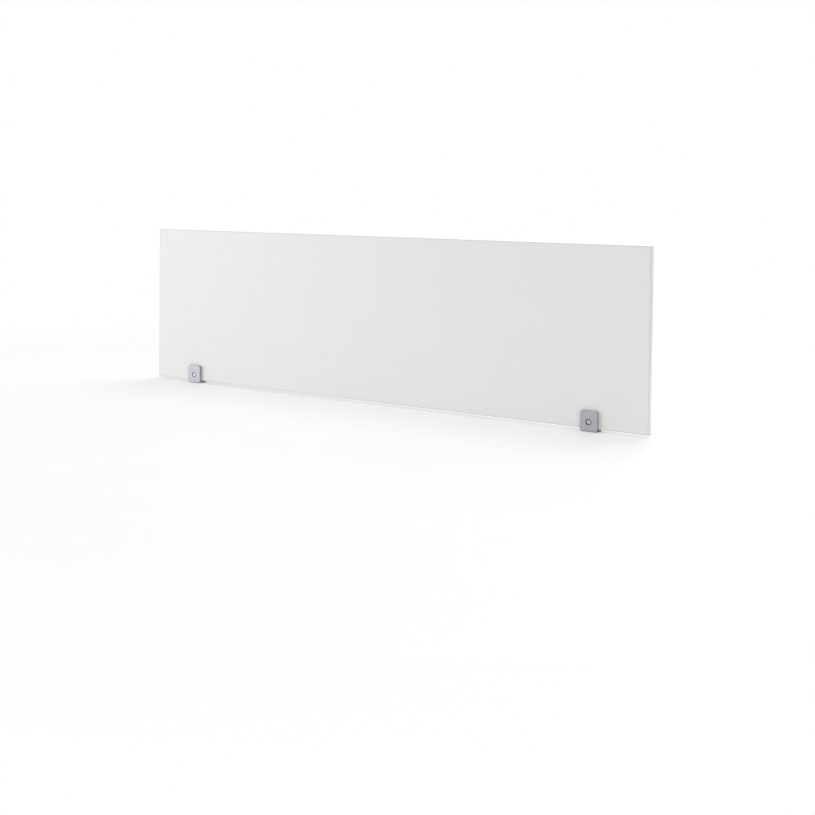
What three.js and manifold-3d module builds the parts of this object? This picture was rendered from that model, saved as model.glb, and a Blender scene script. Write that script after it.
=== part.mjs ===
// Desk privacy panel: a white laminated board that stands on a desk in two U-shaped screw clamps.
// Units are millimetres. +X runs along the board, the clamp screws face -Y, and +Z is up.
// The origin is on the desk surface, midway between the clamps, on the board's middle plane.
import * as THREE from "three";
import { RoundedBoxGeometry } from "three/addons/geometries/RoundedBoxGeometry.js";
import { mergeVertices } from "three/addons/utils/BufferGeometryUtils.js";
import Module from "manifold-3d";

const wasm = await Module();
wasm.setup();

// ---------- Driving dimensions ----------

// Board
const BOARD_WIDTH = 1250;
const BOARD_HEIGHT = 350;
const BOARD_THICKNESS = 12;
const LAMINATE = 0.75; // decor laminate on each face
const BAND = 1; // edge band on each of the four edges
const BAND_EDGE_RADIUS = 0.8;

// Clamps
const CLAMP_FROM_BOARD_END = 119; // board end to the clamp's centre
const CLAMP_WIDTH = 36;
const CLAMP_HEIGHT = 39;
const CLAMP_TOP_RADIUS = 5; // corners of the plate shape, seen from the front
const CLAMP_BOTTOM_RADIUS = 3.5;
const CLAMP_EDGE_ROUND = 1;
const FRONT_JAW = 6;
const REAR_JAW = 5;
const FRONT_CLEARANCE = 0.5; // between the front jaw and the board, taken up by the screw
const REAR_PAD = 1.5; // rubber between the board and the rear jaw
const FOOT = 3;
const BASE_PAD = 1; // rubber between the desk and the foot
const SEAT_PAD = 1; // rubber between the foot and the board
const SEAT_PAD_INSET = 0.5; // its ends inside the clamp's sides
const BASE_PAD_OVERLAP = 0.5; // how far the sole passes the foot's flat underside
const BASE_PAD_CORNER = 1;
const REAR_PAD_WIDTH = 28;
const REAR_PAD_HEIGHT = 27;
const REAR_PAD_CORNER = 3;
const REAR_PAD_RISE = 4; // its lower edge above the board's

// Clamp screw and what it works in
const SCREW_HEIGHT = 18.25; // screw axis above the desk
const SCREW_RADIUS = 3.9; // M8 x 1 outside
const SCREW_CHAMFER = 0.5;
const SCREW_NOSE_RADIUS = 2.5;
const SCREW_NOSE = 0.95;
const SLOT_WIDTH = 1.3;
const SLOT_DEPTH = 1.6;
const SLOT_ANGLES = { left: -35, right: 58 }; // degrees from level, seen from the front
const BUSH_BORE_RADIUS = 4.2;
const BUSH_RADIUS = 6;
const BUSH_FLANGE_RADIUS = 8;
const BUSH_FLANGE = 1;
const BUSH_RECESS = 0.75; // bush end below the jaw's front face
const POCKET_RADIUS = 8.5;
const POCKET_DEPTH = 3.75;
const PRESSURE_PAD_RADIUS = 7.5;
const PRESSURE_PAD = 1.5;
const PAD_SOCKET_DEPTH = 0.9;
const GAP = 0.3; // running gap between pieces that move, and round the bush

// Desk screw holes in each foot
const DESK_HOLE_RADIUS = 2.25;
const DESK_HOLE_HEAD_RADIUS = 4.5;
const DESK_HOLE_HEAD_DEPTH = 2.25;
const DESK_HOLE_SPACING = 18;

const ROUND_STEPS = 36; // sides of a round piece
const CORNER_STEPS = 6; // faces round a quarter circle
const EDGE_STEPS = 3; // faces across a rounded edge
const PAST = 5; // how far a cutting solid runs past the face it cuts

// ---------- Places worked out from them ----------

const BOARD_BOTTOM = BASE_PAD + FOOT + SEAT_PAD;
const BOARD_TOP = BOARD_BOTTOM + BOARD_HEIGHT;
const BOARD_MIDDLE = (BOARD_BOTTOM + BOARD_TOP) / 2;
const BOARD_FACE = BOARD_THICKNESS / 2;
const CORE_WIDTH = BOARD_WIDTH - 2 * BAND;
const CORE_HEIGHT = BOARD_HEIGHT - 2 * BAND;
const CORE_THICKNESS = BOARD_THICKNESS - 2 * LAMINATE;

const CLAMP_X = BOARD_WIDTH / 2 - CLAMP_FROM_BOARD_END;
const CLAMP_TOP = BASE_PAD + CLAMP_HEIGHT;
const FOOT_TOP = BASE_PAD + FOOT;
const FRONT_JAW_INSIDE = -BOARD_FACE - FRONT_CLEARANCE;
const REAR_JAW_INSIDE = BOARD_FACE + REAR_PAD;
const CLAMP_FRONT = FRONT_JAW_INSIDE - FRONT_JAW;
const CLAMP_REAR = REAR_JAW_INSIDE + REAR_JAW;
const CLAMP_DEPTH = CLAMP_REAR - CLAMP_FRONT;
const POCKET_FLOOR = FRONT_JAW_INSIDE - POCKET_DEPTH;
const PAD_FRONT = -BOARD_FACE - GAP; // the face that presses on the board
const PAD_BACK = PAD_FRONT - PRESSURE_PAD;
const SCREW_SHOULDER = PAD_BACK - GAP;

// ---------- Materials ----------

const material = (color, roughness, metalness) =>
  new THREE.MeshStandardMaterial({ color, roughness, metalness });

const chipboard = material(0xc9ad82, 0.9, 0);
const whiteLaminate = material(0xececea, 0.45, 0);
const whiteBand = material(0xf0f0ee, 0.4, 0);
const silverPaint = material(0xb4b5ba, 0.4, 0.6);
const darkSteel = material(0x4a4d52, 0.45, 0.9);
const zincSteel = material(0xdadce0, 0.25, 0.95);
const nylon = material(0xe6e4da, 0.55, 0);
const blackRubber = material(0x1b1b1c, 0.85, 0);

// ---------- Solids ----------

function toSolid(geometry) {
  const bare = geometry.clone();
  bare.deleteAttribute("normal");
  bare.deleteAttribute("uv");
  const merged = mergeVertices(bare);
  return new wasm.Manifold(
    new wasm.Mesh({
      numProp: 3,
      vertProperties: merged.attributes.position.array,
      triVerts: new Uint32Array(merged.index.array),
    }),
  );
}

function toGeometry(solid) {
  const mesh = solid.getMesh();
  const geometry = new THREE.BufferGeometry();
  geometry.setAttribute("position", new THREE.BufferAttribute(mesh.vertProperties, 3));
  geometry.setIndex(new THREE.BufferAttribute(mesh.triVerts, 1));
  geometry.computeVertexNormals();
  return geometry;
}

// A box given by its lowest and highest corners.
function boxBetween(low, high) {
  const size = high.map((value, axis) => value - low[axis]);
  const middle = high.map((value, axis) => (value + low[axis]) / 2);
  return new THREE.BoxGeometry(...size).translate(...middle);
}

// Turns a geometry built in the XY plane and out along Z, so that it stands in XZ and runs along -Y.
const STAND_UP = new THREE.Matrix4().set(1, 0, 0, 0, 0, 0, -1, 0, 0, 1, 0, 0, 0, 0, 0, 1);

// A round bar along Y between two places.
function barAlongY(radius, from, to, height) {
  const bar = new THREE.CylinderGeometry(radius, radius, to - from, ROUND_STEPS);
  return bar.translate(0, (from + to) / 2, height);
}

// A cone or bar along Z between two heights.
function barAlongZ(bottomRadius, topRadius, bottom, top, x) {
  const bar = new THREE.CylinderGeometry(topRadius, bottomRadius, top - bottom, ROUND_STEPS);
  return bar.applyMatrix4(STAND_UP).translate(x, 0, (bottom + top) / 2);
}

// A piece turned about the screw's axis, from [radius, y] points.
function turned(profile) {
  const points = profile.map(([radius, y]) => new THREE.Vector2(radius, y));
  return new THREE.LatheGeometry(points, ROUND_STEPS).translate(0, 0, SCREW_HEIGHT);
}

function roundedOutline(width, height, topRadius, bottomRadius = topRadius) {
  const x = width / 2;
  const y = height / 2;
  const corners = [
    [x - bottomRadius, -y + bottomRadius, bottomRadius, -Math.PI / 2],
    [x - topRadius, y - topRadius, topRadius, 0],
    [-x + topRadius, y - topRadius, topRadius, Math.PI / 2],
    [-x + bottomRadius, -y + bottomRadius, bottomRadius, Math.PI],
  ];
  const outline = new THREE.Shape();
  for (const [centreX, centreY, radius, start] of corners) {
    outline.absarc(centreX, centreY, radius, start, start + Math.PI / 2);
  }
  return outline;
}

// ---------- Board ----------

function boardPieces(group) {
  const add = adder(group);
  const core = new THREE.BoxGeometry(CORE_WIDTH, CORE_THICKNESS, CORE_HEIGHT);
  add("board_core", core.translate(0, 0, BOARD_MIDDLE), chipboard);

  for (const [name, side] of [["front_laminate", -1], ["rear_laminate", 1]]) {
    const sheet = new THREE.BoxGeometry(CORE_WIDTH, LAMINATE, CORE_HEIGHT);
    const y = side * (CORE_THICKNESS + LAMINATE) / 2;
    add(name, sheet.translate(0, y, BOARD_MIDDLE), whiteLaminate);
  }

  // The four bands are the rim of one slab with rounded edges.
  // The top and bottom bands cover the ends of the other two.
  const sizes = [BOARD_WIDTH, BOARD_THICKNESS, BOARD_HEIGHT];
  const slab = new RoundedBoxGeometry(...sizes, EDGE_STEPS, BAND_EDGE_RADIUS);
  const rim = toSolid(slab.translate(0, 0, BOARD_MIDDLE));
  const endX = BOARD_WIDTH / 2;
  const coreX = CORE_WIDTH / 2;
  const coreBottom = BOARD_BOTTOM + BAND;
  const coreTop = BOARD_TOP - BAND;
  const outY = BOARD_FACE + PAST;
  const bands = {
    top_edge_band: [[-endX - PAST, -outY, coreTop], [endX + PAST, outY, BOARD_TOP + PAST]],
    bottom_edge_band: [[-endX - PAST, -outY, BOARD_BOTTOM - PAST], [endX + PAST, outY, coreBottom]],
    left_edge_band: [[-endX - PAST, -outY, coreBottom], [-coreX, outY, coreTop]],
    right_edge_band: [[coreX, -outY, coreBottom], [endX + PAST, outY, coreTop]],
  };
  for (const [name, [low, high]] of Object.entries(bands)) {
    add(name, toGeometry(rim.intersect(toSolid(boxBetween(low, high)))), whiteBand);
  }
}

// ---------- Clamp ----------

// The cast body: a rounded block, slotted for the board, bored for the bush, drilled for desk screws.
function clampBody() {
  const outline = roundedOutline(CLAMP_WIDTH, CLAMP_HEIGHT, CLAMP_TOP_RADIUS, CLAMP_BOTTOM_RADIUS);
  const block = new THREE.ExtrudeGeometry(outline, {
    depth: CLAMP_DEPTH - 2 * CLAMP_EDGE_ROUND,
    bevelThickness: CLAMP_EDGE_ROUND,
    bevelSize: CLAMP_EDGE_ROUND,
    bevelOffset: -CLAMP_EDGE_ROUND,
    bevelSegments: EDGE_STEPS,
    curveSegments: CORNER_STEPS,
  });
  block.applyMatrix4(STAND_UP);
  block.translate(0, CLAMP_REAR - CLAMP_EDGE_ROUND, BASE_PAD + CLAMP_HEIGHT / 2);

  const halfWidth = CLAMP_WIDTH / 2 + PAST;
  const slotLow = [-halfWidth, FRONT_JAW_INSIDE, FOOT_TOP];
  const slotHigh = [halfWidth, REAR_JAW_INSIDE, CLAMP_TOP + PAST];
  const headBottom = FOOT_TOP - DESK_HOLE_HEAD_DEPTH;
  const cuts = [
    boxBetween(slotLow, slotHigh),
    barAlongY(POCKET_RADIUS, POCKET_FLOOR, FRONT_JAW_INSIDE + PAST, SCREW_HEIGHT),
    barAlongY(BUSH_RADIUS + GAP, CLAMP_FRONT - PAST, POCKET_FLOOR + PAST, SCREW_HEIGHT),
  ];
  for (const side of [-1, 1]) {
    const x = side * DESK_HOLE_SPACING / 2;
    cuts.push(barAlongZ(DESK_HOLE_RADIUS, DESK_HOLE_RADIUS, BASE_PAD - PAST, FOOT_TOP + PAST, x));
    cuts.push(barAlongZ(DESK_HOLE_RADIUS, DESK_HOLE_HEAD_RADIUS, headBottom, FOOT_TOP, x));
  }
  return toGeometry(cuts.reduce((body, cut) => body.subtract(toSolid(cut)), toSolid(block)));
}

// The steel bush that carries the thread. Its flange bears on the pocket's floor, so that
// tightening the screw can't push the bush out.
function threadedBush() {
  const outside = CLAMP_FRONT + BUSH_RECESS;
  const flangeInside = POCKET_FLOOR + BUSH_FLANGE;
  return turned([
    [BUSH_BORE_RADIUS, outside],
    [BUSH_RADIUS, outside],
    [BUSH_RADIUS, POCKET_FLOOR],
    [BUSH_FLANGE_RADIUS, POCKET_FLOOR],
    [BUSH_FLANGE_RADIUS, flangeInside],
    [BUSH_BORE_RADIUS, flangeInside],
    [BUSH_BORE_RADIUS, outside],
  ]);
}

// The slotted set screw. Its nose turns in the pressure pad's socket.
function clampScrew(slotAngle) {
  const body = turned([
    [0, CLAMP_FRONT],
    [SCREW_RADIUS - SCREW_CHAMFER, CLAMP_FRONT],
    [SCREW_RADIUS, CLAMP_FRONT + SCREW_CHAMFER],
    [SCREW_RADIUS, SCREW_SHOULDER - SCREW_CHAMFER],
    [SCREW_RADIUS - SCREW_CHAMFER, SCREW_SHOULDER],
    [SCREW_NOSE_RADIUS, SCREW_SHOULDER],
    [SCREW_NOSE_RADIUS, SCREW_SHOULDER + SCREW_NOSE],
    [0, SCREW_SHOULDER + SCREW_NOSE],
  ]);
  const slot = new THREE.BoxGeometry(2 * SCREW_RADIUS + PAST, 2 * SLOT_DEPTH, SLOT_WIDTH);
  slot.rotateY(-THREE.MathUtils.degToRad(slotAngle)).translate(0, CLAMP_FRONT, SCREW_HEIGHT);
  return toGeometry(toSolid(body).subtract(toSolid(slot)));
}

// The nylon disc that the screw pushes against the board.
function pressurePad() {
  const socketRadius = SCREW_NOSE_RADIUS + GAP;
  return turned([
    [0, PAD_BACK + PAD_SOCKET_DEPTH],
    [socketRadius, PAD_BACK + PAD_SOCKET_DEPTH],
    [socketRadius, PAD_BACK],
    [PRESSURE_PAD_RADIUS, PAD_BACK],
    [PRESSURE_PAD_RADIUS, PAD_FRONT],
    [0, PAD_FRONT],
  ]);
}

// The rubber that the board's back rests on, bonded to the rear jaw.
function rearPad() {
  const outline = roundedOutline(REAR_PAD_WIDTH, REAR_PAD_HEIGHT, REAR_PAD_CORNER);
  const pad = new THREE.ExtrudeGeometry(outline, {
    depth: REAR_PAD,
    bevelEnabled: false,
    curveSegments: CORNER_STEPS,
  });
  const middle = BOARD_BOTTOM + REAR_PAD_RISE + REAR_PAD_HEIGHT / 2;
  return pad.applyMatrix4(STAND_UP).translate(0, REAR_JAW_INSIDE, middle);
}

// The rubber strip on the foot that the board stands on. It hides the desk screws' heads.
function seatPad() {
  const halfWidth = CLAMP_WIDTH / 2 - SEAT_PAD_INSET;
  const low = [-halfWidth, FRONT_JAW_INSIDE, FOOT_TOP];
  const high = [halfWidth, BOARD_FACE, BOARD_BOTTOM];
  return boxBetween(low, high);
}

// The rubber sole under the foot, with clearance holes for the desk screws.
function basePad() {
  const width = CLAMP_WIDTH - 2 * (CLAMP_BOTTOM_RADIUS - BASE_PAD_OVERLAP);
  const depth = CLAMP_DEPTH - 2 * (CLAMP_EDGE_ROUND - BASE_PAD_OVERLAP);
  const outline = roundedOutline(width, depth, BASE_PAD_CORNER);
  for (const side of [-1, 1]) {
    const hole = new THREE.Path();
    hole.absarc(side * DESK_HOLE_SPACING / 2, 0, DESK_HOLE_RADIUS + GAP, 0, 2 * Math.PI);
    outline.holes.push(hole);
  }
  return new THREE.ExtrudeGeometry(outline, {
    depth: BASE_PAD,
    bevelEnabled: false,
    curveSegments: CORNER_STEPS,
  });
}

function clampPieces(group, side, x) {
  const clamp = new THREE.Group();
  clamp.position.x = x;
  group.add(clamp);
  const add = adder(clamp);
  add(`${side}_clamp_body`, clampBody(), silverPaint);
  add(`${side}_threaded_bush`, threadedBush(), darkSteel);
  add(`${side}_clamp_screw`, clampScrew(SLOT_ANGLES[side]), zincSteel);
  add(`${side}_pressure_pad`, pressurePad(), nylon);
  add(`${side}_rear_pad`, rearPad(), blackRubber);
  add(`${side}_seat_pad`, seatPad(), blackRubber);
  add(`${side}_base_pad`, basePad(), blackRubber);
}

// ---------- Assembly ----------

function adder(group) {
  return (name, geometry, surface) => {
    const mesh = new THREE.Mesh(geometry, surface);
    mesh.name = name;
    group.add(mesh);
  };
}

const privacyPanel = new THREE.Group();
boardPieces(privacyPanel);
clampPieces(privacyPanel, "left", -CLAMP_X);
clampPieces(privacyPanel, "right", CLAMP_X);

export default privacyPanel;
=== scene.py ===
import math

import bmesh
import bpy
from mathutils import Matrix, Vector

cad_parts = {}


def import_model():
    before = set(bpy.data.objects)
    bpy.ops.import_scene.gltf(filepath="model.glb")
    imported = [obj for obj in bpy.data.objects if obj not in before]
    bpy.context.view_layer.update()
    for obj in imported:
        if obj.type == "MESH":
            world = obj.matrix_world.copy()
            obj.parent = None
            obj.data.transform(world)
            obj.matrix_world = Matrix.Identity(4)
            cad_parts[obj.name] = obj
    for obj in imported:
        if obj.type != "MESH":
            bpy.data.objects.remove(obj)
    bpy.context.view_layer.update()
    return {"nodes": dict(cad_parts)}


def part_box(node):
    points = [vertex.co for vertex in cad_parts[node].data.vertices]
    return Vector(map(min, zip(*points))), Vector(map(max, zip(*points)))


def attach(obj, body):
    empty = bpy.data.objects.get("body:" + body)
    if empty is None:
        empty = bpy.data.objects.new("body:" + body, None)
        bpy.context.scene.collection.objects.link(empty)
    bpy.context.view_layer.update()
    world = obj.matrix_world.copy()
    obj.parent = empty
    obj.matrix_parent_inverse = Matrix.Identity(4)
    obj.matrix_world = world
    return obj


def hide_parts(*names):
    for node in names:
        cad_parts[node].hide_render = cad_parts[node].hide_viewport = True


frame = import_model()

MM = 0.001
SIDES = ("left", "right")
ROOT = "board_and_clamps"

# ---------- Sizes that the frame's boxes don't give ----------

BAND_ROUND = 0.8 * MM  # rounded outer edges of the edge bands
JOINT_BAND_SIDE = 0.12 * MM  # the groove between band and laminate, on each side of the joint
JOINT_SHEET_SIDE = 0.22 * MM

CLAMP_TOP_CORNER = 5.0 * MM  # corners of the clamp's plate shape, seen from the front
CLAMP_BOTTOM_CORNER = 3.5 * MM
CLAMP_EDGE_ROUND = 1.0 * MM  # its front and rear outlines
CLAMP_ARRIS = 0.3 * MM  # every other edge of the casting
SLOT_FILLET = 1.2 * MM  # between the foot and the rear jaw

SCREW_THREAD_DEPTH = 0.54 * MM
SCREW_PITCH = 1.0 * MM
SCREW_CHAMFER = 0.5 * MM
SCREW_NOSE_RADIUS = 2.5 * MM
SCREW_NOSE = 0.95 * MM
SCREW_NOSE_CHAMFER = 0.3 * MM
SCREW_SLOT_WIDTH = 1.3 * MM
SCREW_SLOT_DEPTH = 1.6 * MM
SCREW_SLOT_BREAK = 0.15 * MM  # broken edges at the slot's mouth
SCREW_SLOT_ANGLES = {"left": -35, "right": 58}  # degrees from level, seen from the front
THREAD_PLAY = 0.14 * MM  # radial play between the screw's thread and the bush's

BUSH_RADIUS = 6.0 * MM
BUSH_FLANGE = 1.0 * MM
BUSH_CHAMFER = 0.3 * MM
BUSH_FIT = 0.05 * MM  # between the bush and its bore
POCKET_RADIUS = 8.5 * MM
PAD_SOCKET_DEPTH = 0.9 * MM
PAD_SOCKET_PLAY = 0.3 * MM  # radial play round the screw's nose
PAD_CHAMFER = 0.3 * MM

DESK_HOLE_RADIUS = 2.25 * MM
DESK_HOLE_HEAD_RADIUS = 4.5 * MM
DESK_HOLE_HEAD_DEPTH = 2.25 * MM
DESK_HOLE_SPACING = 18.0 * MM
SOLE_HOLE_PLAY = 0.3 * MM

RUBBER_ROUND = 0.45 * MM
RUBBER_ARRIS = 0.2 * MM
REAR_PAD_CORNER = 3.0 * MM
SOLE_CORNER = 1.0 * MM
GROOVE_SPACING = 4.0 * MM  # moulded grooves in the rubber pads
GROOVE_RADIUS = 0.5 * MM
GROOVE_LIFT = 0.2 * MM  # how far a groove's centre is outside the face

ROUND_STEPS = 96  # sides of a turned piece
CORNER_STEPS = 12  # faces round a quarter circle
THREAD_ROWS = 12  # rows of vertices in one turn's height of thread
THREAD_FLAT = 0.1  # a crest's or a root's share of half the pitch
SMOOTH_ANGLE = math.radians(38)  # faces that meet at less than this are shaded smooth
SHARP_ANGLE = math.radians(40)  # edges that turn by more than this are softened
FLAT_BREADTH = 0.6 * MM  # a face whose area over its perimeter is more than this counts as broad
EDGE_STEPS = 5  # faces across the clamp's and the rubber's rounded edges
BAND_STEPS = 8  # faces across a band's rounded edge
PAST = 5.0 * MM  # how far a cutter runs past the face it cuts
ABOVE = 1.0 * MM  # the same, for a cutter that widens outwards
TOUCHING = 1e-6  # distance at which a vertex counts as lying on a plane

FLOOR_SOLID = 1.0  # the floor is solid out to here
FLOOR_RADIUS = 1.7


# ---------- Materials ----------

class Finish:
    """A procedural material: a Principled shader, and textures wired into it. Sizes are metres."""

    def __init__(self, name, metallic=0.0):
        self.material = bpy.data.materials.new(name)
        self.material.use_nodes = True
        self.nodes = self.material.node_tree.nodes
        self.links = self.material.node_tree.links
        self.shader = self.nodes["Principled BSDF"]
        self.shader.inputs["Metallic"].default_value = metallic
        self.place = self.nodes.new("ShaderNodeTexCoord").outputs["Object"]

    def stretched(self, x, y, z):
        """The texture's place, with each axis drawn out by that much."""
        mapping = self.nodes.new("ShaderNodeMapping")
        mapping.inputs["Scale"].default_value = (1 / x, 1 / y, 1 / z)
        self.links.new(self.place, mapping.inputs["Vector"])
        return mapping.outputs["Vector"]

    def noise(self, size, detail=2.0, place=None):
        """Soft noise with features of about that size, from 0 to 1."""
        texture = self.nodes.new("ShaderNodeTexNoise")
        texture.inputs["Scale"].default_value = 1 / size
        texture.inputs["Detail"].default_value = detail
        self.links.new(place or self.place, texture.inputs["Vector"])
        return texture.outputs["Fac"]

    def cells(self, size, output="Color", place=None):
        """Cells of about that size, each with its own random colour, or the distance to its middle."""
        texture = self.nodes.new("ShaderNodeTexVoronoi")
        texture.inputs["Scale"].default_value = 1 / size
        self.links.new(place or self.place, texture.inputs["Vector"])
        return texture.outputs[output]

    def turning_marks(self, spacing):
        """Fine rings about the piece's own Y axis, as a lathe leaves them."""
        texture = self.nodes.new("ShaderNodeTexWave")
        texture.wave_type = "RINGS"
        texture.rings_direction = "Y"
        texture.inputs["Scale"].default_value = 1 / (2 * math.pi * spacing)
        texture.inputs["Distortion"].default_value = 1.5
        self.links.new(self.place, texture.inputs["Vector"])
        return texture.outputs["Fac"]

    def near_edges(self, reach):
        """1 on edges, and 0 beyond that reach from them."""
        rounded = self.nodes.new("ShaderNodeBevel")
        rounded.inputs["Radius"].default_value = reach
        alike = self.nodes.new("ShaderNodeVectorMath")
        alike.operation = "DOT_PRODUCT"
        self.links.new(rounded.outputs["Normal"], alike.inputs[0])
        self.links.new(self.nodes.new("ShaderNodeNewGeometry").outputs["Normal"], alike.inputs[1])
        return self.between(alike.outputs["Value"], 1, 0, 0.75, 0.97)

    def between(self, value, low, high, from_low=0.25, from_high=0.75):
        """The value from one range, put into another."""
        spread = self.nodes.new("ShaderNodeMapRange")
        spread.inputs["From Min"].default_value = from_low
        spread.inputs["From Max"].default_value = from_high
        spread.inputs["To Min"].default_value = low
        spread.inputs["To Max"].default_value = high
        self.links.new(value, spread.inputs["Value"])
        return spread.outputs["Result"]

    def mixed(self, factor, first, second):
        """A colour between two, each a colour or another texture's output."""
        mix = self.nodes.new("ShaderNodeMix")
        mix.data_type = "RGBA"
        self.links.new(factor, mix.inputs["Factor"])
        for name, colour in (("A", first), ("B", second)):
            socket = next(s for s in mix.inputs if s.name == name and s.type == "RGBA")
            if isinstance(colour, bpy.types.NodeSocket):
                self.links.new(colour, socket)
            else:
                socket.default_value = (*colour, 1.0)
        return next(s for s in mix.outputs if s.type == "RGBA")

    def colour(self, source):
        self.links.new(source, self.shader.inputs["Base Color"])

    def roughness(self, source, low, high):
        self.links.new(self.between(source, low, high), self.shader.inputs["Roughness"])

    def fade_out(self, near, far):
        """Solid up to the near distance from the piece's origin, and clear from the far one."""
        distance = self.nodes.new("ShaderNodeVectorMath")
        distance.operation = "LENGTH"
        self.links.new(self.place, distance.inputs[0])
        cover = self.between(distance.outputs["Value"], 1, 0, near, far)
        self.links.new(cover, self.shader.inputs["Alpha"])

    def bumps(self, *heights):
        """Each height is (texture output, depth in metres)."""
        normal = None
        for height, depth in heights:
            bump = self.nodes.new("ShaderNodeBump")
            bump.inputs["Distance"].default_value = depth
            self.links.new(height, bump.inputs["Height"])
            if normal:
                self.links.new(normal, bump.inputs["Normal"])
            normal = bump.outputs["Normal"]
        self.links.new(normal, self.shader.inputs["Normal"])


def melamine():
    """White decor laminate with a fine pearl grain."""
    finish = Finish("melamine")
    mottle = finish.noise(60 * MM, 3.0)
    finish.colour(finish.mixed(mottle, (0.722, 0.721, 0.711), (0.750, 0.749, 0.739)))
    finish.roughness(finish.noise(9 * MM, 4.0), 0.40, 0.52)
    finish.bumps((finish.noise(1.1 * MM, 1.0), 0.03 * MM), (finish.noise(0.35 * MM, 1.0), 0.012 * MM))
    return finish.material


def edge_band(name, level):
    """Satin white ABS, with the faint lines of its extrusion along the band, level or upright."""
    finish = Finish(name)
    length = 60  # of an extrusion line, in widths of it
    drawn = finish.stretched(length, 1, 1) if level else finish.stretched(1, 1, length)
    mottle = finish.noise(30 * MM, 3.0)
    finish.colour(finish.mixed(mottle, (0.790, 0.789, 0.778), (0.820, 0.819, 0.808)))
    finish.roughness(finish.noise(4 * MM, 3.0), 0.30, 0.42)
    finish.bumps((finish.noise(0.5 * MM, 2.0, drawn), 0.012 * MM), (finish.noise(0.6 * MM, 1.0), 0.01 * MM))
    return finish.material


def glue_line():
    """What shows in the groove between laminate and band: glue that has picked up a little dust."""
    finish = Finish("glue_line")
    finish.colour(finish.mixed(finish.noise(3 * MM, 4.0), (0.10, 0.097, 0.09), (0.19, 0.185, 0.17)))
    finish.roughness(finish.noise(1 * MM), 0.7, 0.9)
    finish.bumps((finish.noise(0.3 * MM), 0.03 * MM))
    return finish.material


def chipboard():
    """Pressed wood chips of several tones, lying flat in the board."""
    finish = Finish("chipboard")
    flat = finish.stretched(1.6, 0.5, 1.2)
    chips = finish.cells(3.5 * MM, "Distance", flat)
    tone = finish.between(finish.cells(3.5 * MM, "Color", flat), 0, 1, 0.1, 0.9)
    wood = finish.mixed(tone, (0.42, 0.29, 0.16), (0.72, 0.56, 0.36))
    gaps = finish.between(finish.noise(0.8 * MM, 4.0), 0, 0.5)
    finish.colour(finish.mixed(gaps, wood, (0.30, 0.20, 0.10)))
    finish.roughness(finish.noise(2 * MM), 0.75, 0.95)
    finish.bumps((chips, 0.4 * MM), (finish.noise(0.5 * MM, 4.0), 0.15 * MM))
    return finish.material


def silver_coat():
    """Silver-grey powder coat on a die casting: orange peel, metal flakes, and a little wear on edges."""
    finish = Finish("silver_coat", metallic=0.65)
    flakes = finish.between(finish.cells(0.12 * MM), 0, 1, 0.2, 0.8)
    coat = finish.mixed(flakes, (0.365, 0.367, 0.398), (0.465, 0.467, 0.506))
    finish.colour(finish.mixed(finish.near_edges(0.35 * MM), coat, (0.58, 0.58, 0.60)))
    finish.roughness(finish.noise(5 * MM, 3.0), 0.36, 0.48)
    finish.bumps((finish.noise(1.6 * MM, 1.0), 0.05 * MM), (finish.noise(0.25 * MM, 1.0), 0.006 * MM))
    return finish.material


def dark_steel_painted_shade():
    """Turned steel with a black oxide finish, whose near-black colour also paints the shade of the recessed
    ring round the screw.
    """
    finish = Finish("dark_steel_painted_shade", metallic=0.85)
    finish.colour(finish.mixed(finish.noise(1.5 * MM, 4.0), (0.075, 0.078, 0.085), (0.13, 0.133, 0.14)))
    finish.roughness(finish.noise(0.8 * MM, 3.0), 0.35, 0.5)
    finish.bumps((finish.turning_marks(0.12 * MM), 0.01 * MM))
    return finish.material


def zinc_plate():
    """Bright zinc on turned steel."""
    finish = Finish("zinc_plate", metallic=1.0)
    finish.colour(finish.mixed(finish.noise(2 * MM, 3.0), (0.76, 0.775, 0.80), (0.86, 0.865, 0.87)))
    finish.roughness(finish.noise(0.5 * MM, 3.0), 0.26, 0.4)
    finish.bumps((finish.turning_marks(0.10 * MM), 0.006 * MM))
    return finish.material


def painted_slot_shade():
    """The driver slot's cut walls and floor, near-black: painted shade that darkens the slot's recess."""
    finish = Finish("painted_slot_shade", metallic=0.6)
    finish.colour(finish.mixed(finish.noise(0.7 * MM, 4.0), (0.035, 0.034, 0.032), (0.12, 0.118, 0.112)))
    finish.roughness(finish.noise(0.4 * MM, 3.0), 0.5, 0.7)
    finish.bumps((finish.noise(0.2 * MM, 2.0), 0.01 * MM))
    return finish.material


def natural_nylon():
    """Moulded nylon, slightly translucent."""
    finish = Finish("natural_nylon")
    finish.shader.inputs["Subsurface Weight"].default_value = 0.25
    finish.shader.inputs["Subsurface Radius"].default_value = (1.5, 1.3, 1.0)
    finish.shader.inputs["Subsurface Scale"].default_value = 1 * MM
    finish.colour(finish.mixed(finish.noise(4 * MM, 3.0), (0.74, 0.72, 0.63), (0.80, 0.78, 0.70)))
    finish.roughness(finish.noise(1 * MM), 0.42, 0.55)
    finish.bumps((finish.noise(0.6 * MM, 1.0), 0.01 * MM))
    return finish.material


def black_rubber():
    """Matt moulded rubber with a faint bloom."""
    finish = Finish("black_rubber")
    finish.colour(finish.mixed(finish.noise(5 * MM, 4.0), (0.012, 0.012, 0.013), (0.03, 0.03, 0.031)))
    finish.roughness(finish.noise(1 * MM, 3.0), 0.68, 0.85)
    finish.bumps((finish.noise(0.3 * MM, 2.0), 0.03 * MM))
    return finish.material


def pale_desk():
    """The surface that the panel stands on: plain off-white with a barely visible grain."""
    finish = Finish("pale_desk")
    finish.colour(finish.mixed(finish.noise(150 * MM, 4.0), (0.925, 0.925, 0.925), (0.945, 0.945, 0.945)))
    finish.roughness(finish.noise(20 * MM, 3.0), 0.55, 0.65)
    finish.bumps((finish.noise(1 * MM, 2.0), 0.01 * MM))
    finish.fade_out(FLOOR_SOLID, FLOOR_RADIUS)
    return finish.material


# ---------- Mesh tools ----------

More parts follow.
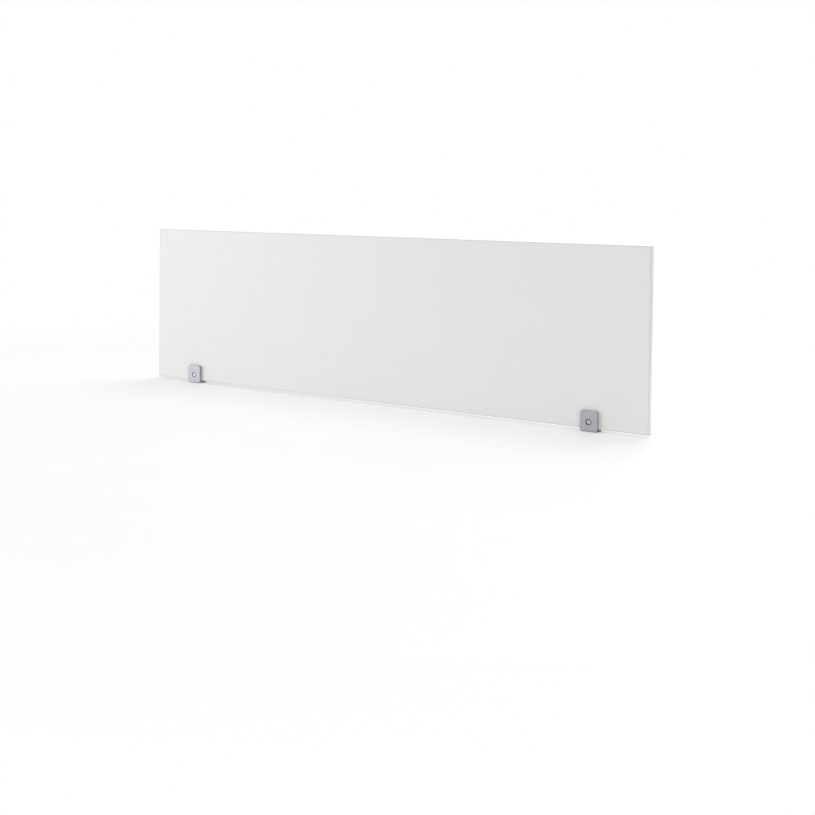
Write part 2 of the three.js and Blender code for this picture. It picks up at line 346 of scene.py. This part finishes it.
def to_object(name, shape, surfaces):
    """An object from a bmesh, which it uses up. Smooth where faces meet at a low angle."""
    bmesh.ops.recalc_face_normals(shape, faces=shape.faces)
    mesh = bpy.data.meshes.new(name)
    shape.to_mesh(mesh)
    shape.free()
    made = bpy.data.objects.new(name, mesh)
    for surface in surfaces:
        mesh.materials.append(surface)
    bpy.context.scene.collection.objects.link(made)
    shade(made)
    return made


def shade(made):
    made.data.polygons.foreach_set("use_smooth", [True] * len(made.data.polygons))
    made.data.set_sharp_from_angle(angle=SMOOTH_ANGLE)


def apply_modifiers(made):
    evaluated = made.evaluated_get(bpy.context.evaluated_depsgraph_get())
    mesh = bpy.data.meshes.new_from_object(evaluated)
    made.modifiers.clear()
    made.data = mesh
    shade(made)


def cut_with(made, tools):
    """Cuts each tool from the piece, and removes the tools. A tool's material stays on what it cut."""
    for tool in tools:
        modifier = made.modifiers.new(tool.name, "BOOLEAN")
        modifier.operation = "DIFFERENCE"
        modifier.solver = "EXACT"
        modifier.material_mode = "TRANSFER"
        modifier.object = tool
    apply_modifiers(made)
    for tool in tools:
        bpy.data.objects.remove(tool)


def soften(made, width, segments=3):
    """Rounds the edges that are still sharp, and keeps the flat faces flat."""
    bevel = made.modifiers.new("arris", "BEVEL")
    bevel.width = width
    bevel.segments = segments
    bevel.limit_method = "ANGLE"
    bevel.angle_limit = SHARP_ANGLE
    bevel.use_clamp_overlap = True
    apply_modifiers(made)
    keep_flats_flat(made.data)


def keep_flats_flat(mesh):
    """Gives each broad face its own normal at its corners, and its small smooth neighbours the same."""
    normals = [corner.vector.copy() for corner in mesh.corner_normals]
    broad = {}
    for face in mesh.polygons:
        around = sum((mesh.vertices[a].co - mesh.vertices[b].co).length for a, b in face.edge_keys)
        if face.area > FLAT_BREADTH * around:
            for vertex in face.vertices:
                broad.setdefault(vertex, []).append(face.normal.copy())
    for face in mesh.polygons:
        for corner in face.loop_indices:
            flats = broad.get(mesh.loops[corner].vertex_index, [])
            nearest = max(flats, key=face.normal.dot, default=None)
            if nearest and nearest.angle(face.normal) < SMOOTH_ANGLE:
                normals[corner] = nearest
    mesh.normals_split_custom_set(normals)


def box_shape(low, high):
    shape = bmesh.new()
    bmesh.ops.create_cube(shape, size=1.0)
    size = Vector(high) - Vector(low)
    middle = (Vector(high) + Vector(low)) / 2
    shape.transform(Matrix.Translation(middle) @ Matrix.Diagonal((*size, 1.0)))
    return shape


def round_edges(shape, edges, radius, segments):
    made = bmesh.ops.bevel(
        shape, geom=edges, offset=radius, offset_type="OFFSET", segments=segments,
        profile=0.5, affect="EDGES", clamp_overlap=True,
    )
    return made["faces"]


def cut_away(shape, point, normal):
    """Removes what is beyond a plane, and closes the cut."""
    geometry = shape.verts[:] + shape.edges[:] + shape.faces[:]
    made = bmesh.ops.bisect_plane(
        shape, geom=geometry, plane_co=point, plane_no=normal, clear_outer=True, dist=1e-8,
    )
    edges = [item for item in made["geom_cut"] if isinstance(item, bmesh.types.BMEdge)]
    bmesh.ops.contextual_create(shape, geom=edges)


def arc(middle, radius, start, end, steps=CORNER_STEPS):
    """Points on an arc, from one angle in degrees to another."""
    angles = [math.radians(start + (end - start) * step / steps) for step in range(steps + 1)]
    return [(middle[0] + radius * math.cos(a), middle[1] + radius * math.sin(a)) for a in angles]


def rounded_outline(low, high, bottom, top):
    """A rectangle's outline, turning left, with one radius for its bottom corners and one for its top."""
    return [
        *arc((high[0] - bottom, low[1] + bottom), bottom, -90, 0),
        *arc((high[0] - top, high[1] - top), top, 0, 90),
        *arc((low[0] + top, high[1] - top), top, 90, 180),
        *arc((low[0] + bottom, low[1] + bottom), bottom, 180, 270),
    ]


def prism_shape(outline, start, end, place):
    """The solid between two copies of an outline. place puts (a, b, along) into the frame."""
    shape = bmesh.new()
    ends = [[shape.verts.new(place(a, b, along)) for a, b in outline] for along in (start, end)]
    for ring in ends:
        shape.faces.new(ring)
    for index in range(len(outline)):
        following = (index + 1) % len(outline)
        shape.faces.new((ends[0][index], ends[0][following], ends[1][following], ends[1][index]))
    return shape


def along_y(a, b, along):
    return (a, along, b)


def along_x(a, b, along):
    return (along, a, b)


def along_z(a, b, along):
    return (a, b, along)


def ring_of(shape, points):
    return [shape.verts.new(point) for point in points]


def skin_rings(shape, rings, closed=False):
    """Faces between each ring of vertices and the next, and back to the first or over both ends."""
    pairs = list(zip(rings, rings[1:]))
    if closed:
        pairs.append((rings[-1], rings[0]))
    for lower, upper in pairs:
        count = len(lower)
        for index in range(count):
            following = (index + 1) % count
            shape.faces.new((lower[index], lower[following], upper[following], upper[index]))
    if not closed:
        shape.faces.new(rings[0])
        shape.faces.new(rings[-1])


def turned_points(radius_at, y):
    """One ring about the Y axis. radius_at gives the radius at an angle, in radians."""
    angles = [2 * math.pi * step / ROUND_STEPS for step in range(ROUND_STEPS)]
    return [(radius_at(a) * math.cos(a), y, radius_at(a) * math.sin(a)) for a in angles]


def turned_rings(shape, profile):
    """One ring about the Y axis for each (radius, y) point."""
    return [ring_of(shape, turned_points(lambda _, r=radius: r, y)) for radius, y in profile]


def turned_shape(profile):
    """A solid turned about the Y axis from (radius, y) points."""
    shape = bmesh.new()
    skin_rings(shape, turned_rings(shape, profile))
    return shape


def bar_tool(radius, start, end, at, place):
    """A round cutter between two places along an axis."""
    outline = arc(at, radius, 0, 360 * (1 - 1 / ROUND_STEPS), ROUND_STEPS - 1)
    return to_object("tool_bar", prism_shape(outline, start, end, place), [])


def keep(made, body, node):
    """The piece rides on a body and stands for a CAD node, which it hides."""
    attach(made, body)
    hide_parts(node)
    return made


# ---------- Board ----------

def joint_groove(shape, edges, size):
    """Chamfers the edges that meet a neighbour, and paints the chamfer as the glue line."""
    for face in round_edges(shape, edges, size, 1):
        face.material_index = 1


def band(name, cuts, surface, glue):
    """One edge band: the rim of the whole slab, cut by planes given as (point, normal)."""
    shape = box_shape(*slab_box())
    round_edges(shape, shape.edges[:], BAND_ROUND, BAND_STEPS)
    for point, normal in cuts:
        cut_away(shape, point, normal)
    places = [(Vector(point), Vector(normal)) for point, normal in cuts]
    joint = [
        edge for edge in shape.edges
        if any(all(abs((v.co - p).dot(n)) < TOUCHING for v in edge.verts) for p, n in places)
    ]
    joint_groove(shape, joint, JOINT_BAND_SIDE)
    return keep(to_object(f"{name}_molding", shape, [surface, glue]), ROOT, name)


def slab_box():
    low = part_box("bottom_edge_band")[0]
    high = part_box("top_edge_band")[1]
    return low, high


def edge_bands(glue):
    core_low, core_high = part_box("board_core")
    level = edge_band("edge_band_level", level=True)
    upright = edge_band("edge_band_upright", level=False)
    over = (core_high, (0, 0, 1))
    under = (core_low, (0, 0, -1))
    band("top_edge_band", [(core_high, (0, 0, -1))], level, glue)
    band("bottom_edge_band", [(core_low, (0, 0, 1))], level, glue)
    band("left_edge_band", [over, under, (core_low, (1, 0, 0))], upright, glue)
    band("right_edge_band", [over, under, (core_high, (-1, 0, 0))], upright, glue)


def laminate(node, outside, surface, glue):
    """One face sheet. outside is the side that shows: -1 for the front."""
    low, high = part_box(node)
    shape = box_shape(low, high)
    face_y = low.y if outside < 0 else high.y
    rim = [edge for edge in shape.edges if all(abs(v.co.y - face_y) < TOUCHING for v in edge.verts)]
    joint_groove(shape, rim, JOINT_SHEET_SIDE)
    return keep(to_object(f"{node}_sheet", shape, [surface, glue]), ROOT, node)


def board():
    glue = glue_line()
    white = melamine()
    edge_bands(glue)
    laminate("front_laminate", -1, white, glue)
    laminate("rear_laminate", 1, white, glue)
    core = frame["nodes"]["board_core"]
    core.data.materials.clear()
    core.data.materials.append(chipboard())


# ---------- Clamps ----------

def clamp_body(side, surface):
    """The casting: a rounded block, slotted for the board, bored for the bush, drilled for desk screws."""
    low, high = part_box(f"{side}_clamp_body")
    seat_low, seat_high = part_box(f"{side}_seat_pad")
    bush_low, bush_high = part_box(f"{side}_threaded_bush")
    middle_x = (low.x + high.x) / 2
    axis_z = (bush_low.z + bush_high.z) / 2
    slot_front = seat_low.y
    slot_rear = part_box(f"{side}_rear_pad")[1].y
    foot_top = seat_low.z
    pocket_floor = bush_high.y - BUSH_FLANGE

    outline = rounded_outline((low.x, low.z), (high.x, high.z), CLAMP_BOTTOM_CORNER, CLAMP_TOP_CORNER)
    block = prism_shape(outline, low.y, high.y, along_y)
    ends = [e for e in block.edges if abs(e.verts[0].co.y - e.verts[1].co.y) < TOUCHING]
    round_edges(block, ends, CLAMP_EDGE_ROUND, EDGE_STEPS)
    body = to_object(f"{side}_clamp_casting", block, [surface])

    slot = [
        (slot_front, foot_top),
        *arc((slot_rear - SLOT_FILLET, foot_top + SLOT_FILLET), SLOT_FILLET, -90, 0),
        (slot_rear, high.z + PAST),
        (slot_front, high.z + PAST),
    ]
    cutters = [
        to_object("tool_slot", prism_shape(slot, low.x - PAST, high.x + PAST, along_x), []),
        bar_tool(POCKET_RADIUS, pocket_floor, slot_front + PAST, (middle_x, axis_z), along_y),
        bar_tool(BUSH_RADIUS + BUSH_FIT, low.y - PAST, pocket_floor + PAST, (middle_x, axis_z), along_y),
    ]
    for direction in (-1, 1):
        x = middle_x + direction * DESK_HOLE_SPACING / 2
        cutters.append(bar_tool(DESK_HOLE_RADIUS, low.z - PAST, foot_top + PAST, (x, 0), along_z))
        cutters.append(countersink(x, foot_top))
    cut_with(body, cutters)
    soften(body, CLAMP_ARRIS)
    return keep(body, ROOT, f"{side}_clamp_body")


def countersink(x, top):
    """A cutter for a screw's conical head, flush with the foot's upper face."""
    slope = (DESK_HOLE_HEAD_RADIUS - DESK_HOLE_RADIUS) / DESK_HOLE_HEAD_DEPTH
    profile = [
        (DESK_HOLE_RADIUS, -DESK_HOLE_HEAD_DEPTH),
        (DESK_HOLE_HEAD_RADIUS + slope * ABOVE, ABOVE),
    ]
    tool = to_object("tool_countersink", turned_shape(profile), [])
    tool.matrix_world = Matrix.Translation((x, 0, top)) @ Matrix.Rotation(math.radians(90), 4, "X")
    return tool


def screw_axis(side):
    low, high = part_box(f"{side}_clamp_screw")
    return Vector(((low.x + high.x) / 2, 0, (low.z + high.z) / 2))


def thread_radius(crest, y, angle):
    """A right-hand 60 degree thread about -Y, with flats on its crests and roots."""
    turn = (-y / SCREW_PITCH - angle / (2 * math.pi)) % 1
    rise = (abs(2 * turn - 1) - THREAD_FLAT) / (1 - 2 * THREAD_FLAT)
    return crest - SCREW_THREAD_DEPTH * (1 - min(max(rise, 0), 1))


def threaded_rings(shape, start, end, limit_at, crest):
    """Rings of vertices along a thread. limit_at(y, radius) is what the end's chamfer leaves of it."""
    rows = round((end - start) / SCREW_PITCH * THREAD_ROWS)
    rings = []
    for row in range(rows + 1):
        y = start + (end - start) * row / rows
        rings.append(ring_of(shape, turned_points(lambda a: limit_at(y, thread_radius(crest, y, a)), y)))
    return rings


def threaded_bush(side, surface):
    """The flanged steel bush, threaded inside with a little play round the screw."""
    axis = screw_axis(side)
    low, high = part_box(f"{side}_threaded_bush")
    flange_radius = (high.x - low.x) / 2
    floor = high.y - BUSH_FLANGE
    screw_low, screw_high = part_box(f"{side}_clamp_screw")
    crest = (screw_high.x - screw_low.x) / 2 + THREAD_PLAY

    def lead_in(y, radius):
        return max(radius, crest - min(y - low.y, high.y - y))

    shape = bmesh.new()
    bore = threaded_rings(shape, low.y, high.y, lead_in, crest)
    outside = [
        (flange_radius - BUSH_CHAMFER, high.y),
        (flange_radius, high.y - BUSH_CHAMFER),
        (flange_radius, floor),
        (BUSH_RADIUS, floor),
        (BUSH_RADIUS, low.y + BUSH_CHAMFER),
        (BUSH_RADIUS - BUSH_CHAMFER, low.y),
    ]
    skin_rings(shape, bore + turned_rings(shape, outside), closed=True)
    made = to_object(f"{side}_bush_turned", shape, [surface])
    made.location = axis
    return keep(made, ROOT, f"{side}_threaded_bush")


def clamp_screw(side, surface, slot_shade_surface):
    """The set screw: a chamfered thread, a nose for the pad's socket, and a slot in its face."""
    axis = screw_axis(side)
    low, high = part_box(f"{side}_clamp_screw")
    crest = (high.x - low.x) / 2
    shoulder = high.y - SCREW_NOSE

    def chamfered(y, radius):
        return min(radius, crest - SCREW_CHAMFER + min(y - low.y, shoulder - y))

    shape = bmesh.new()
    thread = threaded_rings(shape, low.y, shoulder, chamfered, crest)
    nose = [
        (SCREW_NOSE_RADIUS, shoulder),
        (SCREW_NOSE_RADIUS, high.y - SCREW_NOSE_CHAMFER),
        (SCREW_NOSE_RADIUS - SCREW_NOSE_CHAMFER, high.y),
    ]
    skin_rings(shape, thread + turned_rings(shape, nose))
    made = to_object(f"{side}_set_screw", shape, [surface])
    # the slot's cut faces take the painted shade material
    slot = slot_tool(low.y, crest, SCREW_SLOT_ANGLES[side], slot_shade_surface)
    cut_with(made, [slot])
    made.location = axis
    return keep(made, f"{side}_screw", f"{side}_clamp_screw")


def slot_tool(face_y, radius, angle, surface):
    """A cutter for a driver slot with a broken mouth, at an angle from level."""
    half = SCREW_SLOT_WIDTH / 2
    mouth = half + SCREW_SLOT_BREAK + ABOVE
    outline = [
        (face_y - ABOVE, -mouth),
        (face_y - ABOVE, mouth),
        (face_y + SCREW_SLOT_BREAK, half),
        (face_y + SCREW_SLOT_DEPTH, half),
        (face_y + SCREW_SLOT_DEPTH, -half),
        (face_y + SCREW_SLOT_BREAK, -half),
    ]
    tool = to_object("tool_slot", prism_shape(outline, -radius - PAST, radius + PAST, along_x), [surface])
    tool.matrix_world = Matrix.Rotation(-math.radians(angle), 4, "Y")
    return tool


def pressure_pad(side, surface):
    """The nylon disc between the screw and the board."""
    low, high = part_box(f"{side}_pressure_pad")
    radius = (high.x - low.x) / 2
    socket_radius = SCREW_NOSE_RADIUS + PAD_SOCKET_PLAY
    floor = low.y + PAD_SOCKET_DEPTH
    profile = [
        (socket_radius - PAD_CHAMFER / 2, floor),
        (socket_radius, floor - PAD_CHAMFER / 2),
        (socket_radius, low.y + PAD_CHAMFER),
        (socket_radius + PAD_CHAMFER, low.y),
        (radius - PAD_CHAMFER, low.y),
        (radius, low.y + PAD_CHAMFER),
        (radius, high.y - PAD_CHAMFER),
        (radius - PAD_CHAMFER, high.y),
    ]
    made = to_object(f"{side}_pressure_disc", turned_shape(profile), [surface])
    made.location = screw_axis(side)
    return keep(made, f"{side}_pad", f"{side}_pressure_pad")


def grooved(made, low, high, face, axis_place, span):
    """Moulded grooves in one face of a rubber pad."""
    count = int((high - low) / GROOVE_SPACING)
    middle = (low + high) / 2
    tools = []
    for index in range(count):
        at = middle + (index - (count - 1) / 2) * GROOVE_SPACING
        tools.append(bar_tool(GROOVE_RADIUS, span[0] - PAST, span[1] + PAST, axis_place(at, face), along_x))
    cut_with(made, tools)


def rear_pad(side, surface):
    """The rubber that the board's back leans on, grooved on that side."""
    low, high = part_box(f"{side}_rear_pad")
    outline = rounded_outline((low.x, low.z), (high.x, high.z), REAR_PAD_CORNER, REAR_PAD_CORNER)
    shape = prism_shape(outline, low.y, high.y, along_y)
    made = to_object(f"{side}_rear_rubber", shape, [surface])
    grooved(made, low.z, high.z, low.y - GROOVE_LIFT, lambda at, face: (face, at), (low.x, high.x))
    soften(made, RUBBER_ARRIS, 2)
    return keep(made, ROOT, f"{side}_rear_pad")


def seat_pad(side, surface):
    """The strip that the board stands on, with rounded edges."""
    low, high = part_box(f"{side}_seat_pad")
    shape = box_shape(low, high)
    round_edges(shape, shape.edges[:], RUBBER_ROUND, EDGE_STEPS)
    made = to_object(f"{side}_seat_rubber", shape, [surface])
    return keep(made, ROOT, f"{side}_seat_pad")


def base_pad(side, surface):
    """The sole under the foot, with clearance holes and a grooved underside."""
    low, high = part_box(f"{side}_base_pad")
    middle_x = (low.x + high.x) / 2
    outline = rounded_outline((low.x, low.y), (high.x, high.y), SOLE_CORNER, SOLE_CORNER)
    shape = prism_shape(outline, low.z, high.z, along_z)
    made = to_object(f"{side}_sole_rubber", shape, [surface])
    holes = []
    for direction in (-1, 1):
        x = middle_x + direction * DESK_HOLE_SPACING / 2
        radius = DESK_HOLE_RADIUS + SOLE_HOLE_PLAY
        holes.append(bar_tool(radius, low.z - PAST, high.z + PAST, (x, 0), along_z))
    cut_with(made, holes)
    grooved(made, low.y, high.y, low.z - GROOVE_LIFT, lambda at, face: (at, face), (low.x, high.x))
    soften(made, RUBBER_ARRIS, 2)
    return keep(made, ROOT, f"{side}_base_pad")


def clamps():
    silver = silver_coat()
    # near-black bush: oxide finish, and also painted shade for the ring round the screw
    black = dark_steel_painted_shade()
    zinc = zinc_plate()
    # painted shade for the recess of the screw's driver slot
    slot = painted_slot_shade()
    nylon = natural_nylon()
    rubber = black_rubber()
    for side in SIDES:
        clamp_body(side, silver)
        threaded_bush(side, black)
        clamp_screw(side, zinc, slot)
        pressure_pad(side, nylon)
        rear_pad(side, rubber)
        seat_pad(side, rubber)
        base_pad(side, rubber)


# ---------- Floor, light and camera ----------

def floor():
    """A round pale floor that fades into the background."""
    shape = bmesh.new()
    bmesh.ops.create_circle(shape, cap_ends=True, segments=128, radius=FLOOR_RADIUS)
    made = to_object("floor", shape, [pale_desk()])


def world():
    """A white background that lights the object at less than the strength that the camera sees."""
    made = bpy.data.worlds.new("studio")
    bpy.context.scene.world = made
    made.use_nodes = True
    nodes, links = made.node_tree.nodes, made.node_tree.links
    seen = nodes["Background"]
    seen.inputs["Color"].default_value = (1.0, 1.0, 1.0, 1.0)
    seen.inputs["Strength"].default_value = 1.0
    light = nodes.new("ShaderNodeBackground")
    light.inputs["Color"].default_value = (1.0, 1.0, 1.0, 1.0)
    light.inputs["Strength"].default_value = 0.62
    path = nodes.new("ShaderNodeLightPath")
    mix = nodes.new("ShaderNodeMixShader")
    links.new(path.outputs["Is Camera Ray"], mix.inputs[0])
    links.new(light.outputs[0], mix.inputs[1])
    links.new(seen.outputs[0], mix.inputs[2])
    links.new(mix.outputs[0], nodes["World Output"].inputs["Surface"])


def softbox(name, place, target, size, power):
    """A rectangular light that the camera doesn't see. size is its width and height, power is watts."""
    data = bpy.data.lights.new(name, "AREA")
    data.shape = "RECTANGLE"
    data.size, data.size_y = size
    data.energy = power
    made = bpy.data.objects.new(name, data)
    made.location = place
    made.rotation_euler = (Vector(target) - Vector(place)).to_track_quat("-Z", "Y").to_euler()
    made.visible_camera = False
    bpy.context.scene.collection.objects.link(made)


def lights():
    softbox("side", (-3.0, -2.4, 0.6), (-0.3, 0.0, 0.1), (1.6, 1.0), 40)
    softbox("right", (2.6, -1.8, 1.2), (0.5, 0.0, 0.2), (1.6, 1.2), 9)
    softbox("overhead", (0.0, -0.9, 3.1), (0.0, -0.1, 0.0), (3.0, 2.4), 28)
    softbox("overhead_rear", (0.0, 1.3, 3.0), (0.0, 0.1, 0.0), (3.0, 1.6), 20)
    softbox("rear", (0.3, 2.6, 1.4), (0.0, 0.0, 0.1), (3.6, 1.8), 17)
    softbox("low_rear", (-0.2, 2.4, 0.4), (0.0, 0.0, 0.0), (3.6, 0.6), 8)


CAMERA_PLACE = (1.562, -2.206, 0.450)
CAMERA_HEADING = 33.88  # degrees to the left of +Y
CAMERA_PITCH = 1.54  # degrees down
CAMERA_ROLL = 0.63  # degrees
CAMERA_LENS = 56.53  # mm, on a 36 mm sensor
CAMERA_SHIFT_Y = -0.2225


def camera():
    """Nearly level, so that uprights stay parallel, with the lens shifted down to frame the panel."""
    data = bpy.data.cameras.new("camera")
    data.sensor_width = 36.0
    data.lens = CAMERA_LENS
    data.shift_y = CAMERA_SHIFT_Y
    data.clip_start = 0.05
    data.clip_end = 60.0
    made = bpy.data.objects.new("camera", data)
    heading = Matrix.Rotation(math.radians(CAMERA_HEADING), 4, "Z")
    pitch = Matrix.Rotation(math.radians(90 - CAMERA_PITCH), 4, "X")
    roll = Matrix.Rotation(math.radians(CAMERA_ROLL), 4, "Z")
    made.matrix_world = Matrix.Translation(CAMERA_PLACE) @ heading @ pitch @ roll
    bpy.context.scene.collection.objects.link(made)
    bpy.context.scene.camera = made


board()
clamps()
floor()
world()
lights()
camera()
bpy.context.scene.view_settings.view_transform = "Standard"
